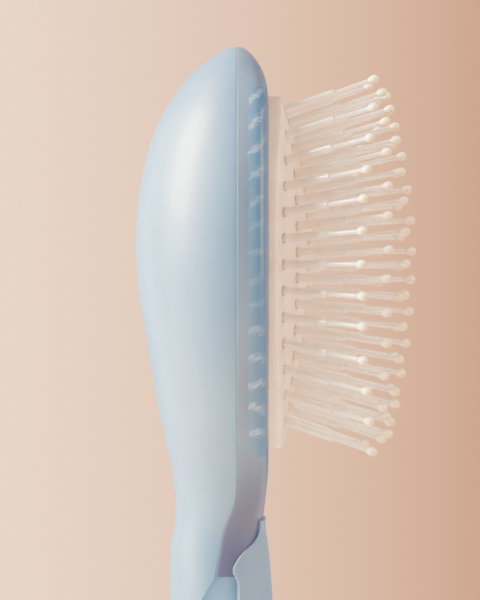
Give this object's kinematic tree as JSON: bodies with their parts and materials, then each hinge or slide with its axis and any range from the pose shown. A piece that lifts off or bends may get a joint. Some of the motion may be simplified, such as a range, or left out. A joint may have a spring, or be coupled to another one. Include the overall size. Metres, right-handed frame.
{
  "type": "cushion hairbrush",
  "caption": "Cushion hairbrush with an egg-shaped humped head, an oval domed rubber cushion of ball-tipped pins, and a straight handle with recessed sides.",
  "frame": {"origin": "centre of the flat end of the handle", "axes": "+Z along the brush to the tip of the head, +X the way the pins point, Y across the head"},
  "size_m": [0.061, 0.0642, 0.225],
  "materials": {
    "shell": "glossy, slightly pearly pale blue moulded plastic",
    "grip": "satin blue moulded plastic",
    "inner": "unpolished moulded plastic",
    "cushion": "soft translucent cream rubber",
    "pins": "clear nylon shafts with ivory ball tips"
  },
  "bodies": {
    "casing": {"back_shell": "shell", "front_frame": "shell", "handle_front_panel": "shell", "side_grip_left": "grip", "side_grip_right": "grip", "handle_core": "inner", "handle_end_cap": "shell", "backing_plate": "inner", "cushion_retaining_ring": "inner"},
    "cushion": {"cushion_membrane": "cushion"},
    "pins_centre_low": {"pin_strip_centre_low": "pins"},
    "pins_centre_mid": {"pin_strip_centre_mid": "pins"},
    "pins_centre_top": {"pin_strip_centre_top": "pins"},
    "pins_left_1_low": {"pin_strip_left_1_low": "pins"},
    "pins_left_1_mid": {"pin_strip_left_1_mid": "pins"},
    "pins_left_1_top": {"pin_strip_left_1_top": "pins"},
    "pins_right_1_low": {"pin_strip_right_1_low": "pins"},
    "pins_right_1_mid": {"pin_strip_right_1_mid": "pins"},
    "pins_right_1_top": {"pin_strip_right_1_top": "pins"},
    "pins_left_2_low": {"pin_strip_left_2_low": "pins"},
    "pins_left_2_mid": {"pin_strip_left_2_mid": "pins"},
    "pins_left_2_top": {"pin_strip_left_2_top": "pins"},
    "pins_right_2_low": {"pin_strip_right_2_low": "pins"},
    "pins_right_2_mid": {"pin_strip_right_2_mid": "pins"},
    "pins_right_2_top": {"pin_strip_right_2_top": "pins"},
    "pins_left_3_low": {"pin_strip_left_3_low": "pins"},
    "pins_left_3_mid": {"pin_strip_left_3_mid": "pins"},
    "pins_left_3_top": {"pin_strip_left_3_top": "pins"},
    "pins_right_3_low": {"pin_strip_right_3_low": "pins"},
    "pins_right_3_mid": {"pin_strip_right_3_mid": "pins"},
    "pins_right_3_top": {"pin_strip_right_3_top": "pins"}
  },
  "joints": [
    {"name": "cushion_press", "type": "slide", "parent": "casing", "child": "cushion", "axis": [-1, 0, 0], "range_m": [0, 0.003], "stiffness_N_per_m": 1500, "deforming": ["cushion_membrane"]},
    {"name": "flex_centre_low", "type": "hinge", "parent": "cushion", "child": "pins_centre_low", "pos_m": [0.01733, 0, 0.15538], "axis": [0.1844, 0, 0.9828], "range_deg": [-8, 8], "stiffness_Nm_per_rad": 0.005},
    {"name": "flex_centre_mid", "type": "hinge", "parent": "cushion", "child": "pins_centre_mid", "pos_m": [0.01958, 0, 0.1775], "axis": [0.015, 0, 0.9999], "range_deg": [-8, 8], "stiffness_Nm_per_rad": 0.005},
    {"name": "flex_centre_top", "type": "hinge", "parent": "cushion", "child": "pins_centre_top", "pos_m": [0.01726, 0, 0.19962], "axis": [-0.2225, 0, 0.9749], "range_deg": [-8, 8], "stiffness_Nm_per_rad": 0.005},
    {"name": "flex_left_1_low", "type": "hinge", "parent": "cushion", "child": "pins_left_1_low", "pos_m": [0.01715, 0.00561, 0.15815], "axis": [0.1341, 0.0617, 0.989], "range_deg": [-8, 8], "stiffness_Nm_per_rad": 0.005},
    {"name": "flex_left_1_mid", "type": "hinge", "parent": "cushion", "child": "pins_left_1_mid", "pos_m": [0.01874, 0.00618, 0.1775], "axis": [0.0158, -0.0022, 0.9999], "range_deg": [-8, 8], "stiffness_Nm_per_rad": 0.005},
    {"name": "flex_left_1_top", "type": "hinge", "parent": "cushion", "child": "pins_left_1_top", "pos_m": [0.01722, 0.00535, 0.19686], "axis": [-0.1568, -0.0842, 0.984], "range_deg": [-8, 8], "stiffness_Nm_per_rad": 0.005},
    {"name": "flex_right_1_low", "type": "hinge", "parent": "cushion", "child": "pins_right_1_low", "pos_m": [0.01715, -0.00561, 0.15815], "axis": [0.1341, -0.0617, 0.989], "range_deg": [-8, 8], "stiffness_Nm_per_rad": 0.005},
    {"name": "flex_right_1_mid", "type": "hinge", "parent": "cushion", "child": "pins_right_1_mid", "pos_m": [0.01874, -0.00618, 0.1775], "axis": [0.0158, 0.0022, 0.9999], "range_deg": [-8, 8], "stiffness_Nm_per_rad": 0.005},
    {"name": "flex_right_1_top", "type": "hinge", "parent": "cushion", "child": "pins_right_1_top", "pos_m": [0.01722, -0.00535, 0.19686], "axis": [-0.1568, 0.0842, 0.984], "range_deg": [-8, 8], "stiffness_Nm_per_rad": 0.005},
    {"name": "flex_left_2_low", "type": "hinge", "parent": "cushion", "child": "pins_left_2_low", "pos_m": [0.01535, 0.01074, 0.15538], "axis": [0.0747, 0.1643, 0.9836], "range_deg": [-8, 8], "stiffness_Nm_per_rad": 0.005},
    {"name": "flex_left_2_mid", "type": "hinge", "parent": "cushion", "child": "pins_left_2_mid", "pos_m": [0.01631, 0.0123, 0.1775], "axis": [0.0111, -0.0056, 0.9999], "range_deg": [-8, 8], "stiffness_Nm_per_rad": 0.005},
    {"name": "flex_left_2_top", "type": "hinge", "parent": "cushion", "child": "pins_left_2_top", "pos_m": [0.01543, 0.01, 0.19962], "axis": [-0.0929, -0.2238, 0.9702], "range_deg": [-8, 8], "stiffness_Nm_per_rad": 0.005},
    {"name": "flex_right_2_low", "type": "hinge", "parent": "cushion", "child": "pins_right_2_low", "pos_m": [0.01535, -0.01074, 0.15538], "axis": [0.0747, -0.1643, 0.9836], "range_deg": [-8, 8], "stiffness_Nm_per_rad": 0.005},
    {"name": "flex_right_2_mid", "type": "hinge", "parent": "cushion", "child": "pins_right_2_mid", "pos_m": [0.01631, -0.0123, 0.1775], "axis": [0.0111, 0.0056, 0.9999], "range_deg": [-8, 8], "stiffness_Nm_per_rad": 0.005},
    {"name": "flex_right_2_top", "type": "hinge", "parent": "cushion", "child": "pins_right_2_top", "pos_m": [0.01543, -0.01, 0.19962], "axis": [-0.0929, 0.2238, 0.9702], "range_deg": [-8, 8], "stiffness_Nm_per_rad": 0.005},
    {"name": "flex_left_3_low", "type": "hinge", "parent": "cushion", "child": "pins_left_3_low", "pos_m": [0.01357, 0.0151, 0.15262], "axis": [-0.0124, 0.3193, 0.9476], "range_deg": [-8, 8], "stiffness_Nm_per_rad": 0.005},
    {"name": "flex_left_3_mid", "type": "hinge", "parent": "cushion", "child": "pins_left_3_mid", "pos_m": [0.01349, 0.01828, 0.1775], "axis": [0.0075, -0.01, 0.9999], "range_deg": [-8, 8], "stiffness_Nm_per_rad": 0.005},
    {"name": "flex_left_3_top", "type": "hinge", "parent": "cushion", "child": "pins_left_3_top", "pos_m": [0.01372, 0.01339, 0.20239], "axis": [0.0007, -0.4391, 0.8985], "range_deg": [-8, 8], "stiffness_Nm_per_rad": 0.005},
    {"name": "flex_right_3_low", "type": "hinge", "parent": "cushion", "child": "pins_right_3_low", "pos_m": [0.01357, -0.0151, 0.15262], "axis": [-0.0124, -0.3193, 0.9476], "range_deg": [-8, 8], "stiffness_Nm_per_rad": 0.005},
    {"name": "flex_right_3_mid", "type": "hinge", "parent": "cushion", "child": "pins_right_3_mid", "pos_m": [0.01349, -0.01828, 0.1775], "axis": [0.0075, 0.01, 0.9999], "range_deg": [-8, 8], "stiffness_Nm_per_rad": 0.005},
    {"name": "flex_right_3_top", "type": "hinge", "parent": "cushion", "child": "pins_right_3_top", "pos_m": [0.01372, -0.01339, 0.20239], "axis": [0.0007, 0.4391, 0.8985], "range_deg": [-8, 8], "stiffness_Nm_per_rad": 0.005}
  ]
}
